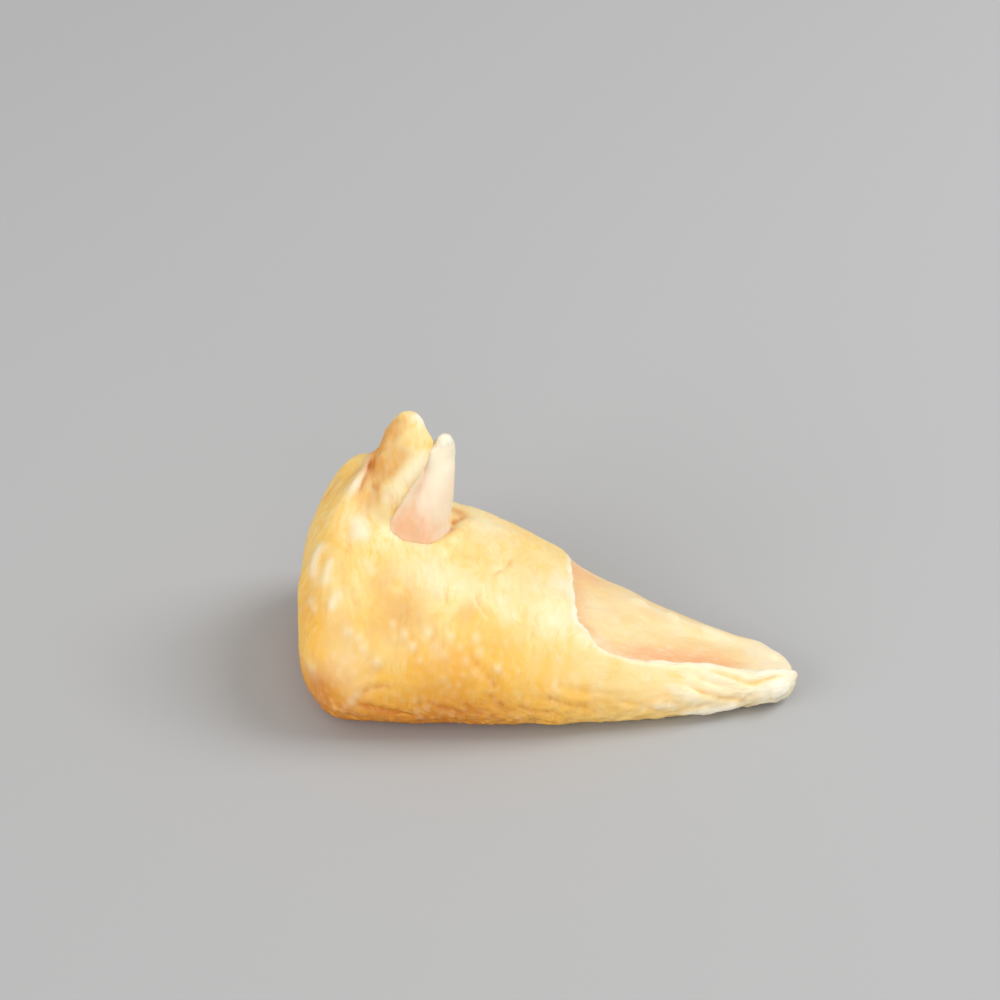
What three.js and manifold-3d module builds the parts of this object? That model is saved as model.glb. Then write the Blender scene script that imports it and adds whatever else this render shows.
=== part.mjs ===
// Chicken supreme: one breast with its skin on and the wing's first joint still attached.
//
// Millimetres, +Z up. The breast lies flesh side down along X, with the shoulder and the wing at -X and the
// tail tip at +X. The near side, at -Y, is wrapped in skin. On top the skin stops short of the tail, so that
// the flesh shows there. Every piece is worked out in shoulder coordinates, where x = 0 is the blunt
// shoulder end and z = 0 the table, and the finished group is then centred on its own footprint.

import * as THREE from "three";
import { mergeVertices } from "three/addons/utils/BufferGeometryUtils.js";
import Module from "manifold-3d";

const wasm = await Module();
wasm.setup();

const { lerp, smoothstep, degToRad, radToDeg, clamp } = THREE.MathUtils;

// Driving dimensions of the whole
const LENGTH = 157;
const SKIN = 2.0; // skin with the fat under it
const GAP = 0.35; // clearance between pieces that touch

// The breast from shoulder to tail: x, near edge, far edge, crown, and the level where it is widest
const STATIONS = [
  [0, -37, 34.5, 47.5, 14.5],
  [14, -42, 39, 51.5, 14.5],
  [33, -44, 40, 50.5, 14.5],
  [50, -44, 39, 47, 13.5],
  [64, -44, 35, 42.5, 12.5],
  [81, -43, 26.5, 36, 11],
  [93, -41, 19, 32, 9.5],
  [107, -39, 8.8, 24.2, 9],
  [126, -35, 0.5, 17.5, 8],
  [140, -31.8, -5.5, 14, 7.5],
  [LENGTH, -27, -9.5, 12.4, 7],
];
const SHOULDER_ROUND = { reach: 20, power: 3 };
const TAIL_ROUND = { reach: 8.5, power: 2.2 };
const SECTION_POWER = { sides: 0.82, top: 0.92, belly: 0.8 }; // 1 is a true ellipse, less is squarer
const BELLY_FULLNESS = 1.25; // without a table the belly would hang this far below the widest level
const TAIL_LIFT = { from: 114, rise: 1.6 };

// The shoulder joint lifts the top of the thick end
const SHOULDER_HUMP = { x: 22, y: 15, rise: 19, length: 14, width: 20, flatness: 2.4 };

// How far the skin reaches: in mm along the piece, and in degrees round it from the near edge over the top
const SKIN_TOP_END = 89.2;
const SKIN_TOP_WAVE = { depth: 0.8, degrees: 40 };
const SKIN_TOP_SLANT = { from: 100, to: 40, reach: 4.5 };
const SKIN_LIP = -62;
const SKIN_FAR_EDGE = 192;
const SKIN_SHOULDER_WRAP = 12;
const STRIP_EDGE = { from: 92, start: 54, to: 143, end: 74 };
const SKIN_CORNER = 6.5;
const SKIN_TAIL_CAP = { reach: 0.5, slant: 3.5 };
const SKIN_EDGE_BEVEL = 2.5;

// Away from the skin's edge the bare muscle swells to the level of the skin's outer face
const FLESH_SWELL = { from: 8, to: 14, tailFrom: 4, tailTo: 10 };

// The wing's first joint: a plump lobe in a sleeve of skin, a slimmer bare lobe beside it, and the bone
const PLUMP = { foot: [31.5, -9.5, 27.5], tip: [35.8, 18, 80.5], radius: 14.8, tipRadius: 9.8 };
const SLIM = { foot: [34.8, -8, 33.5], tip: [47.4, 11.7, 74.3], radius: 9.1, tipRadius: 5.3 };
const LOBE_FULLNESS = 0.9; // 1 is a true ellipsoid, less is blunter
const SLEEVE_WINDOW = { start: -86, span: 190, twist: 158, top: 0.88 };
const BONE = { foot: [43.3, 0, 50], tip: [46.9, 10.4, 71.5], shaft: 1.9, knob: 3.4, knobLength: 1.5 };

// Mesh fineness
const BREAST_ALONG = 36;
const BREAST_AROUND = 44;
const LOBE_ALONG = 18;
const LOBE_AROUND = 28;
const KNOB_SIDES = 16;

const COLOURS = { skin: "#f3cf86", flesh: "#f6cfa4", wing: "#f7d9bd", bone: "#f6efd9" };

// Every solid is a sphere whose points are moved to their places, so a form is the sphere's shared vertices
// with a list of spots: each vertex's way from pole to pole (0 to 1) and its turn round that axis.
function sphereForm(around, along) {
  const sphere = new THREE.SphereGeometry(1, around, along);
  sphere.deleteAttribute("normal");
  sphere.deleteAttribute("uv");
  const form = mergeVertices(sphere, 1e-6);
  const place = form.getAttribute("position");
  const spots = [];
  for (let i = 0; i < place.count; i++) {
    const way = Math.acos(clamp(-place.getY(i), -1, 1)) / Math.PI;
    spots.push({ way, turn: Math.atan2(place.getX(i), place.getZ(i)) });
  }
  return { form, spots };
}

function placeVertices({ form, spots }, pointAt) {
  const place = form.getAttribute("position");
  spots.forEach((spot, i) => place.setXYZ(i, ...pointAt(spot).toArray()));
  form.computeVertexNormals();
  return { form, spots };
}

// A copy of a form whose points are moved out along their normals, each by its own distance
function offsetForm({ form, spots }, distanceAt) {
  const moved = form.clone();
  const place = form.getAttribute("position");
  const normal = form.getAttribute("normal");
  const point = new THREE.Vector3();
  const push = new THREE.Vector3();
  spots.forEach((spot, i) => {
    point.fromBufferAttribute(place, i);
    push.fromBufferAttribute(normal, i);
    point.addScaledVector(push, distanceAt(spot));
    moved.getAttribute("position").setXYZ(i, point.x, point.y, point.z);
  });
  return { form: moved, spots };
}

// A closed geometry as a solid for joining and cutting
function toSolid({ form }) {
  const vertProperties = Float32Array.from(form.getAttribute("position").array);
  const triVerts = Uint32Array.from(form.getIndex().array);
  return new wasm.Manifold(new wasm.Mesh({ numProp: 3, vertProperties, triVerts }));
}

// The largest body of a solid as a geometry, without the scraps that cutting can leave
function toGeometry(solid) {
  const bodies = solid.decompose().sort((a, b) => b.volume() - a.volume());
  const { vertProperties, triVerts } = bodies[0].getMesh();
  const geometry = new THREE.BufferGeometry();
  geometry.setAttribute("position", new THREE.BufferAttribute(Float32Array.from(vertProperties), 3));
  geometry.setIndex(new THREE.BufferAttribute(Uint32Array.from(triVerts), 1));
  geometry.computeVertexNormals();
  return geometry;
}

// Smooth curves through the stations, read at any x
const stationCurves = new THREE.CubicInterpolant(
  STATIONS.map((row) => row[0]),
  STATIONS.flatMap((row) => row.slice(1)),
  STATIONS[0].length - 1,
  new Float64Array(STATIONS[0].length - 1),
);

function station(x) {
  const [near, far, crown, widest] = stationCurves.evaluate(clamp(x, 0, LENGTH));
  return { middle: (near + far) / 2, half: (far - near) / 2, crown, widest };
}

// 0 at a rounded end and 1 once its rounding is done
function endRise(distance, { reach, power }) {
  return (1 - (1 - clamp(distance / reach, 0, 1)) ** power) ** (1 / power);
}

const signedPower = (value, power) => Math.sign(value) * Math.abs(value) ** power;

function humpAt(x, y) {
  const along = (x - SHOULDER_HUMP.x) / SHOULDER_HUMP.length;
  const across = (y - SHOULDER_HUMP.y) / SHOULDER_HUMP.width;
  return SHOULDER_HUMP.rise * Math.exp(-(Math.hypot(along, across) ** SHOULDER_HUMP.flatness));
}

// A point of the breast's outer surface. Its turn is 0 at the near edge and a quarter turn at the crown.
function breastPoint({ x, turn }) {
  const { middle, half, crown, widest } = station(x);
  const round = endRise(x, SHOULDER_ROUND) * endRise(LENGTH - x, TAIL_ROUND);
  const y = middle - half * round * signedPower(Math.cos(turn), SECTION_POWER.sides);
  const rise = Math.abs(Math.sin(turn));
  const table = TAIL_LIFT.rise * smoothstep(x, TAIL_LIFT.from, LENGTH);
  if (turn < 0) {
    const hang = (widest - table) * BELLY_FULLNESS * round * rise ** SECTION_POWER.belly;
    return new THREE.Vector3(x, y, Math.max(widest - hang, table));
  }
  const arch = (crown - widest) * rise ** SECTION_POWER.top;
  return new THREE.Vector3(x, y, widest + round * (arch + rise * humpAt(x, y)));
}

// The breast's outer surface. Its rings crowd towards both rounded ends.
function breastForm() {
  const base = sphereForm(BREAST_AROUND, BREAST_ALONG);
  for (const spot of base.spots) {
    spot.turn = -spot.turn; // from the near edge over the top, as seen from the shoulder
    spot.x = LENGTH * lerp(spot.way, (1 - Math.cos(Math.PI * spot.way)) / 2, 0.75);
  }
  return placeVertices(base, breastPoint);
}

// The larger of two values, rounded off where they are within the given reach of each other
function softMax(a, b, reach) {
  const mix = Math.max(reach - Math.abs(a - b), 0) / reach;
  return Math.max(a, b) + (mix * mix * reach) / 4;
}

// Signed reach of the skin at a spot of the breast, in millimetres: above 0 where skin covers it
function breastCover({ x, turn }) {
  const degrees = radToDeg(turn) < -90 ? radToDeg(turn) + 360 : radToDeg(turn);
  const arm = Math.max(station(x).half, 6);
  const short = (limit) => degToRad(limit - degrees) * arm;
  const lip = -short(SKIN_LIP);
  const wave = SKIN_TOP_WAVE.depth * Math.sin((degrees / SKIN_TOP_WAVE.degrees) * 2 * Math.PI);
  const slant = SKIN_TOP_SLANT.reach * (1 - smoothstep(degrees, SKIN_TOP_SLANT.to, SKIN_TOP_SLANT.from));
  const bag = Math.min(SKIN_TOP_END + slant + wave - x, lip, short(SKIN_FAR_EDGE));
  const { from, start, to, end } = STRIP_EDGE;
  const strip = Math.min(short(lerp(start, end, smoothstep(x, from, to))), lip);
  const tailCap = SKIN_TAIL_CAP.reach + SKIN_TAIL_CAP.slant * Math.cos(turn);
  const ends = Math.max(SKIN_SHOULDER_WRAP - x, x - LENGTH + tailCap);
  return Math.max(softMax(bag, strip, SKIN_CORNER), ends);
}

// From 0 at a lobe's foot to 1 at its tip
const heightOnLobe = (way) => (1 - Math.cos(Math.PI * way)) / 2;

// A lobe of the wing: a rounded form round the line from its foot to its tip. A turn of 0 is towards -Y and
// a quarter turn towards +X. The twist, in degrees from foot to tip, makes its rows of vertices wind round.
function lobeForm(lobe, twist = 0) {
  const foot = new THREE.Vector3(...lobe.foot);
  const axis = new THREE.Vector3(...lobe.tip).sub(foot);
  const front = new THREE.Vector3(0, -1, 0).projectOnPlane(axis).normalize();
  const right = new THREE.Vector3().crossVectors(axis, front).normalize();
  const base = sphereForm(LOBE_AROUND, LOBE_ALONG);
  return placeVertices(base, ({ way, turn }) => {
    const up = heightOnLobe(way);
    const radius = lerp(lobe.radius, lobe.tipRadius, up) * Math.sin(Math.PI * way) ** LOBE_FULLNESS;
    const wound = turn + degToRad(twist) * up;
    const point = foot.clone().addScaledVector(axis, up);
    return point.addScaledVector(front, radius * Math.cos(wound)).addScaledVector(right, radius * Math.sin(wound));
  });
}

// Signed reach of the sleeve of skin on the plump lobe. It leaves a window open, which winds up the lobe
// as its rows of vertices do.
function sleeveCover({ way, turn }) {
  const fromMiddle = Math.abs(radToDeg(turn) - SLEEVE_WINDOW.start - SLEEVE_WINDOW.span / 2);
  const beside = degToRad(fromMiddle - SLEEVE_WINDOW.span / 2) * PLUMP.radius;
  const above = (heightOnLobe(way) - SLEEVE_WINDOW.top) * (PLUMP.tip[2] - PLUMP.foot[2]);
  return Math.max(beside, above);
}

// A layer of skin on a form, where its cover is above 0, with a bevelled edge
function skinLayer(base, cover) {
  const outer = offsetForm(base, (spot) => {
    return SKIN * clamp(cover(spot) / SKIN_EDGE_BEVEL - 1, -3, 0);
  });
  return toSolid(outer).subtract(toSolid(offsetForm(base, () => -SKIN)));
}

const outside = breastForm();
const plump = lobeForm(PLUMP, SLEEVE_WINDOW.twist);
const slim = lobeForm(SLIM);

// The wing's meat, and the same grown by the clearance for what is cut by it
function wingMeat(growth) {
  const inSleeve = toSolid(offsetForm(plump, () => growth - SKIN - GAP));
  return inSleeve.add(toSolid(offsetForm(slim, () => growth)));
}

// The bone: a shaft with a rounded knob of cartilage in two halves at its end
function wingBone(growth) {
  const foot = new THREE.Vector3(...BONE.foot);
  const axis = new THREE.Vector3(...BONE.tip).sub(foot);
  const half = axis.length() / 2;
  const shaft = new THREE.CapsuleGeometry(BONE.shaft + growth, axis.length(), 4, KNOB_SIDES);
  shaft.translate(0, half, 0);
  const pieces = [shaft];
  for (const side of [-1, 1]) {
    const knob = new THREE.SphereGeometry(BONE.knob + growth, KNOB_SIDES, KNOB_SIDES / 2);
    knob.scale(1, BONE.knobLength, 0.8).translate(0, 2 * half, side * BONE.knob * 0.5);
    pieces.push(knob);
  }
  const turn = new THREE.Quaternion().setFromUnitVectors(new THREE.Vector3(0, 1, 0), axis.normalize());
  const solids = pieces.map((geometry) => {
    geometry.deleteAttribute("normal");
    geometry.deleteAttribute("uv");
    geometry.applyQuaternion(turn).translate(foot.x, foot.y, foot.z);
    return toSolid({ form: mergeVertices(geometry, 1e-5) });
  });
  return solids.reduce((joined, solid) => joined.add(solid));
}

// The bare muscle: below the skin's inner face, and swelling out where the skin leaves it bare
function breastSolid() {
  const flesh = offsetForm(outside, (spot) => {
    const bare = smoothstep(-breastCover(spot), FLESH_SWELL.from, FLESH_SWELL.to);
    const fromTail = smoothstep(LENGTH - spot.x, FLESH_SWELL.tailFrom, FLESH_SWELL.tailTo);
    return -(SKIN + GAP) * (1 - bare * fromTail);
  });
  return toSolid(flesh).subtract(wingMeat(GAP));
}

function skinSolid() {
  const shell = skinLayer(outside, breastCover);
  const sleeve = skinLayer(plump, sleeveCover).subtract(toSolid(offsetForm(outside, () => -SKIN)));
  return shell.add(sleeve).subtract(wingMeat(GAP)).subtract(wingBone(GAP));
}

function finish(name, solid, colour, roughness) {
  const material = new THREE.MeshStandardMaterial({ color: colour, roughness, metalness: 0 });
  const mesh = new THREE.Mesh(toGeometry(solid), material);
  mesh.name = name;
  return mesh;
}

const supreme = new THREE.Group();
supreme.add(
  finish("breast", breastSolid(), COLOURS.flesh, 0.45),
  finish("skin", skinSolid(), COLOURS.skin, 0.5),
  finish("wing_meat", wingMeat(0).subtract(wingBone(GAP)), COLOURS.wing, 0.45),
  finish("wing_bone", wingBone(0), COLOURS.bone, 0.35),
);

// The origin goes to the middle of the footprint, on the table
const whole = new THREE.Box3().setFromObject(supreme, true);
const middle = whole.getCenter(new THREE.Vector3());
supreme.position.set(-middle.x, -middle.y, -whole.min.z);
supreme.updateMatrixWorld(true);

export default supreme;
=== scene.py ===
"""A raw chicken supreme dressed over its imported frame: yellow skin, bare muscle, wing joint."""

import math

import bmesh
import bpy
import numpy as np
from mathutils import Matrix, Vector, noise
from mathutils.bvhtree import BVHTree
from mathutils.kdtree import KDTree


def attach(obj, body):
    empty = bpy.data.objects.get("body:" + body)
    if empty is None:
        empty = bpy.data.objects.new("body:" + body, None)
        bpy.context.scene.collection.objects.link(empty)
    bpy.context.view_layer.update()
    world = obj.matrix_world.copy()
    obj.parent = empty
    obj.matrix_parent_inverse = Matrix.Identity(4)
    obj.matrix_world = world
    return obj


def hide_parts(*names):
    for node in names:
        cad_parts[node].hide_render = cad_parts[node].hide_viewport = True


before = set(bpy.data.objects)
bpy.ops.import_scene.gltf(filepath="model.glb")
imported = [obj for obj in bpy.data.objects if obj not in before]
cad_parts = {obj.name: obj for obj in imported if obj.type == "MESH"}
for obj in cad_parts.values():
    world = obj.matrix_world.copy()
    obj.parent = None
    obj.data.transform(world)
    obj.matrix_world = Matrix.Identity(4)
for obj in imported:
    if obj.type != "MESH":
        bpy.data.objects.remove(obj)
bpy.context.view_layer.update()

bl_info = {
    "name": "Chicken Supreme",
    "version": (1, 0, 0),
    "blender": (4, 5, 0),
    "location": "3D View > Sidebar > Supreme",
    "description": "Dresses the packed frame of a raw chicken supreme on a pale studio floor",
    "category": "Object",
}

MM = 0.001

# The picture that the camera takes, in pixels and in millimetres at the piece
PICTURE_SIDE = 1000
PICTURE_SCALE = 311.5 / PICTURE_SIDE
CAMERA_DISTANCE = 750.0
CAMERA_AIM = (-14.9, 9.5, 54.1)
CAMERA_ELEVATION = 35.0
CAMERA_REACH = (0.02, 20.0)  # nearest and farthest thing seen, in metres
SENSOR = 36.0
LINE_STEP = 3.0  # pixels between the points of a drawn line
LONGEST_LEG = 6.0  # a line's next point lies on another fold if it is further off than this

# Creases of the skin: a line drawn over the picture, then half width, depth, lip, inward pull and
# tone, all in millimetres but the tone, which goes from -1 for deep, painted shade in the groove,
# to 1 for pale
SKIN_CREASES = {
    "web": (
        [(375, 450), (372, 458), (370, 467), (366, 477), (361, 489), (356, 502)],
        1.1, 1.15, 0.5, 0.2, -0.75,
    ),
    "web_outer": ([(345, 469), (336, 481), (328, 494), (323, 508)], 1.8, 0.2, 0.1, 0.1, -0.3),
    "web_branch": (
        [(383, 477), (374, 488), (369, 500), (366, 514), (368, 528)],
        1.2, 0.4, 0.15, 0.1, -0.18,
    ),
    "web_twig": ([(375, 468), (374, 482), (378, 494), (377, 508)], 1.0, 0.3, 0.15, 0.1, -0.18),
    "web_low": ([(362, 512), (352, 528), (347, 545), (346, 562)], 1.4, 0.4, 0.2, 0.2, -0.1),
    # painted shade in the pocket beside the wing's foot
    "pocket_shade": (
        [(441, 537), (449, 530), (455, 521), (462, 517), (470, 514)],
        1.5, 0.7, 0.4, 0.3, -0.3,
    ),
    "collar": (
        [(434, 545), (443, 539), (450, 531), (454, 522), (455, 512)],
        0.9, 0.3, 0.0, 0.0, -0.4,
    ),
    # painted shade along the flap's shaded back
    "flap_back": (
        [(411, 414), (398, 422), (387, 434), (377, 447), (373, 459)],
        2.6, 0.2, 0.0, 0.0, -0.7,
    ),
    "fat_line": (
        [(411, 444), (404, 454), (396, 465), (389, 473), (382, 480)],
        2.0, 0.4, 0.1, 0.2, -0.45,
    ),
    "flap_a": ([(403, 424), (395, 438), (389, 452), (384, 468)], 1.0, 0.25, 0.1, 0.1, -0.15),
    "shoulder_line": ([(343, 552), (341, 570), (344, 590), (349, 606)], 1.2, 0.25, 0.1, 0.1, -0.1),
    "neck_left": ([(354, 584), (353, 596), (356, 610)], 0.8, 0.25, 0.1, 0.1, -0.15),
    "dome_fork": ([(513, 553), (508, 566), (498, 572), (490, 580)], 0.9, 0.28, 0.14, 0.1, -0.08),
    "dome_left": ([(442, 583), (445, 596), (446, 608)], 0.8, 0.25, 0.12, 0.1, -0.08),
    "dome_right": ([(474, 588), (477, 600), (484, 612), (496, 622)], 0.9, 0.28, 0.14, 0.1, -0.08),
    "dome_edge": ([(536, 610), (533, 628), (530, 645)], 1.0, 0.25, 0.12, 0.1, -0.06),
    "fall": (
        [(464, 652), (480, 668), (492, 682), (501, 694), (512, 708)],
        1.4, 0.35, 0.25, 0.2, -0.1,
    ),
    "hem_left": (
        [(353, 701), (366, 705), (382, 709), (402, 714), (422, 716)],
        1.2, 0.6, 0.4, 0.3, -0.6,
    ),
    "hem_tuck": (
        [(352, 706), (356, 698), (364, 691), (378, 687), (396, 687)],
        1.2, 0.3, 0.3, 0.2, -0.2,
    ),
    "hem_a": ([(425, 700), (440, 706), (454, 710), (470, 717)], 1.0, 0.4, 0.25, 0.2, -0.35),
    "hem_b": ([(462, 700), (472, 708), (484, 716)], 0.9, 0.45, 0.25, 0.2, -0.35),
    "hem_c": ([(484, 690), (493, 698), (503, 706), (516, 714)], 1.1, 0.45, 0.25, 0.2, -0.35),
    "hem_d": ([(512, 704), (526, 709), (542, 712), (560, 713)], 1.0, 0.3, 0.25, 0.2, -0.25),
    "hem_e": (
        [(535, 695), (552, 699), (570, 704), (588, 707), (602, 713)],
        1.1, 0.3, 0.3, 0.2, -0.25,
    ),
    "hem_f": ([(585, 700), (600, 702), (612, 706), (624, 712)], 0.9, 0.35, 0.25, 0.2, -0.25),
    "strip_foot": (
        [(604, 698), (622, 703), (642, 705), (660, 710), (676, 713)],
        0.9, 0.5, 0.25, 0.2, -0.15,
    ),
    "strip_long": ([(560, 688), (590, 693), (620, 697), (650, 700)], 1.3, 0.22, 0.2, 0.2, -0.1),
    "strip_upper": (
        [(700, 665), (712, 670), (726, 675), (740, 680), (751, 684), (762, 681), (774, 677),
         (787, 676), (799, 678)],
        1.0, 0.7, 0.3, 0.3, -0.7,
    ),
    "strip_lower": (
        [(684, 680), (694, 689), (706, 694), (722, 697), (738, 699), (752, 701)],
        0.9, 0.45, 0.25, 0.2, -0.5,
    ),
    "strip_mid": ([(690, 674), (706, 681), (722, 686), (740, 689)], 1.2, 0.35, 0.2, 0.2, -0.25),
    "strip_nick": ([(771, 700), (771, 694), (768, 689)], 0.9, 0.6, 0.2, 0.2, -0.2),
}
# Ridges of the skin: a line drawn over the picture, then half width, rise and tone; a pale tone
# is partly a painted highlight where noted
SKIN_RIDGES = {
    "web": (
        [(367, 454), (361, 467), (355, 482), (346, 498), (336, 516), (329, 540)],
        4.0, 1.3, 0.08,
    ),
    # painted highlight on the web's lit edge
    "web_edge_highlight": ([(368, 456), (366, 467), (362, 477), (357, 487), (351, 498)], 1.6, 0.9, 0.85),
    "web_foot": ([(358, 514), (358, 528), (362, 544)], 2.6, 0.8, 0.5),
    "blotch_left": ([(330, 549), (322, 549), (318, 558), (316, 570), (318, 582)], 1.9, 0.5, 0.6),
    "blotch_right": ([(333, 556), (330, 566), (327, 576), (328, 588)], 1.7, 0.45, 0.55),
    "blotch_low": ([(310, 598), (315, 606), (318, 614)], 1.7, 0.4, 0.4),
    "blotch_mid": ([(342, 590), (335, 600), (331, 612)], 1.7, 0.4, 0.5),
    "neck": ([(362, 556), (368, 566), (374, 576)], 1.8, 0.3, 0.3),
    "fat_band": ([(422, 447), (414, 463), (407, 476), (399, 488)], 3.0, 0.9, 0.56),
    "fat_band_low": ([(401, 484), (394, 494), (387, 506)], 3.0, 0.5, 0.35),
    # painted highlight on the flap's right edge, over the cream of its fat
    "flap_edge": ([(415, 414), (422, 423), (428, 434), (429, 445)], 2.6, 0.4, 0.9),
    "collar": (
        [(388, 520), (392, 532), (401, 542), (413, 547), (426, 545), (438, 539), (449, 528)],
        1.6, 0.7, 0.2,
    ),
    "dome_pale": ([(503, 590), (506, 610), (512, 628)], 3.2, 0.3, 0.25),
    "hem_edge": ([(350, 706), (354, 697), (361, 688)], 1.3, 0.4, 0.35),
    "hem_roll": ([(353, 706), (368, 710), (384, 714), (400, 718)], 1.4, 0.5, 0.0),
    # painted highlight along the strip's upper edge, over its pale fat
    "strip_crest": (
        [(606, 655), (640, 663), (668, 664), (700, 665), (730, 669), (752, 675)],
        1.7, 0.5, 0.4,
    ),
    "strip_belly": ([(664, 684), (676, 690), (690, 696), (704, 701)], 1.8, 0.5, 0.4),
    "strip_fold": ([(706, 672), (722, 678), (738, 683)], 1.3, 0.5, 0.3),
    "tip_crest": ([(752, 675), (768, 672), (784, 671), (795, 672)], 1.6, 0.8, 0.9),
    "tip_lobe": ([(764, 689), (776, 687), (788, 685)], 2.6, 0.9, 0.8),
    "fat_lip": ([(674, 713), (692, 710), (710, 708), (728, 705), (746, 702)], 1.4, 1.1, 1.0),
    "fat_tag": ([(650, 706), (664, 705), (678, 706)], 1.3, 0.5, 0.5),
}
# Patches of the skin: a spot on the picture, then radius and tone, the skin's own mottle except
# where painted light and shade are noted
SKIN_PATCHES = {
    # paler on the dome's top and on its right, partly the skin's own colour, partly painted light
    # from the key light
    "dome_pale": ((430, 572), 7.5, 0.38),
    "crown_pale": ((486, 524), 9.0, 0.3),
    "shoulder_pale": ((362, 528), 4.5, 0.35),
    "dome_right": ((535, 585), 12.0, 0.25),
    "dome_low_right": ((552, 625), 9.0, 0.3),
    "edge_pale": ((570, 590), 6.0, 0.6),
    "edge_pale_low": ((578, 618), 5.0, 0.5),
    # painted shade in the valley between the web and the flap
    "valley_shade": ((373, 462), 4.0, -0.8),
    "dome_middle": ((470, 585), 6.0, 0.25),
    "gold_left": ((398, 612), 9.0, -0.3),
    "haze_left": ((344, 668), 8.0, 0.3),
    "haze_corner": ((312, 668), 4.0, 0.35),
    "gold_neck": ((388, 575), 6.0, -0.2),
    "gold_spot": ((468, 612), 3.5, -0.3),
    # deeper gold low on the front, partly painted shade
    "gold_and_shade_low": ((445, 680), 12.0, -0.35),
    "gold_right": ((505, 650), 7.0, -0.1),
    "gold_shoulder": ((338, 628), 5.0, -0.25),
    # painted shade on the flap's shaded left face and at its foot
    "flap_shade": ((392, 446), 6.0, -0.3),
    "flap_shade_low": ((379, 470), 5.0, -0.5),
    "flap_foot_shade": ((376, 500), 5.0, -0.4),
    "web_gold": ((349, 480), 6.0, -0.2),
    # painted shade on the left end, which faces away from the key light
    "left_shade": ((308, 605), 8.0, -0.28),
    "left_low_shade": ((322, 684), 8.0, -0.62),
    "dome_gold": ((402, 610), 6.0, -0.25),
    # painted shade in the pocket beside the wing's foot
    "pocket_shade": ((459, 512), 3.6, -0.75),
    "strip_pale": ((715, 676), 12.0, 0.6),
    "strip_cream": ((655, 680), 9.0, 0.2),
    "strip_start": ((600, 664), 9.0, 0.2),
    "tip_pale": ((780, 682), 9.0, 0.9),
    "flap_right": ((419, 438), 3.0, 0.1),
}
# The plainest follicle pimples, as spots on the picture
PLAIN_PIMPLES = [
    (359, 638), (363, 648), (349, 632), (377, 662), (393, 624), (413, 646), (428, 632),
    (436, 646), (451, 636), (460, 647), (476, 638), (480, 652), (475, 672), (498, 668),
    (404, 634), (444, 655), (466, 661), (420, 660),
]
PIMPLE_SQUASH = Vector((1.1, 1.0, 0.75))
PIMPLE_GAP = 3.4  # between scattered pimples
FAR_SLOPE = (0.84, -0.32, -0.16)  # the way along the far side of the tail towards its tip
# Where the skin is pulled aside: a spot on the picture, then radius and shift
SKIN_PULLS = {
    "flap_tip": ((424, 422), 4.0, (-0.7, 0.0, -0.3)),
    "flap_shoulder": ((421, 440), 4.5, (3.0, -0.4, 0.4)),
    "flap_low": ((413, 461), 5.5, (2.0, -0.3, 0.2)),
    "flap_back": ((392, 437), 5.0, (-1.4, 0.0, 0.2)),
    "web_top": ((354, 461), 5.0, (0.6, 0.0, -2.2)),
    "web_slope": ((342, 472), 7.0, (1.0, 0.0, -1.6)),
    "web_notch": ((374, 457), 3.0, (0.0, 0.0, 2.6)),
    "collar_right": ((448, 537), 4.5, (-1.2, -0.8, 2.2)),
    "collar_low": ((440, 547), 3.5, (-0.2, -0.4, 1.3)),
    "dome_left": ((304, 590), 12.0, (-1.0, 0.0, 0.0)),
    "tip_low": ((776, 686), 6.0, (0.4, -0.8, -0.8)),
}
# The same for the bare muscle, with tones from -1 for pink, partly painted shade, to 1 for the
# white film over it, partly painted highlights
FLESH_CREASES = {
    "lobe": ([(742, 642), (747, 650), (757, 657), (770, 662), (781, 664)], 1.2, 0.4, 0.2, 0.2, 0.0),
    # painted shade of the strip along the muscle's edge, over its pink
    "blush_and_shade": (
        [(612, 646), (640, 652), (672, 655), (705, 656), (742, 660)],
        3.2, 0.0, 0.0, 0.0, -0.7,
    ),
    "groove": ([(600, 590), (640, 622), (690, 640), (735, 652)], 2.6, 0.15, 0.1, 0.1, 0.0),
}
FLESH_RIDGES = {
    "crest": (
        [(630, 603), (650, 609), (672, 618), (700, 627), (724, 636), (742, 645)],
        1.7, 0.3, 0.5,
    ),
    "lobe": ([(752, 647), (766, 653), (779, 659)], 2.4, 0.9, 0.8),
    "belly": ([(610, 625), (650, 637), (690, 648), (730, 656)], 4.0, 0.3, 0.0),
    "edge_bump": ([(630, 602), (638, 603), (648, 607)], 1.8, 1.0, 0.5),
    "edge_bump_right": ([(664, 614), (672, 618), (680, 622)], 1.6, 0.8, 0.5),
    "edge_bump_far": ([(698, 628), (706, 631), (714, 634)], 1.5, 0.6, 0.4),
}
FLESH_PATCHES = {
    # painted highlights on the muscle's top and far edge: the film patches, the haze and the glint
    "highlight_high": ((628, 603), 7.0, 0.4),
    "highlight_edge": ((672, 624), 7.0, 0.35),
    "highlight_right": ((722, 640), 6.0, 0.5),
    "haze": ((596, 612), 6.0, 0.4),
    "glint": ((599, 641), 2.2, 0.5),
    # pink by the skin's edge, partly painted shade
    "blush_and_shade": ((590, 578), 5.5, -0.7),
    "lobe": ((770, 654), 6.0, 0.7),
}
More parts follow.
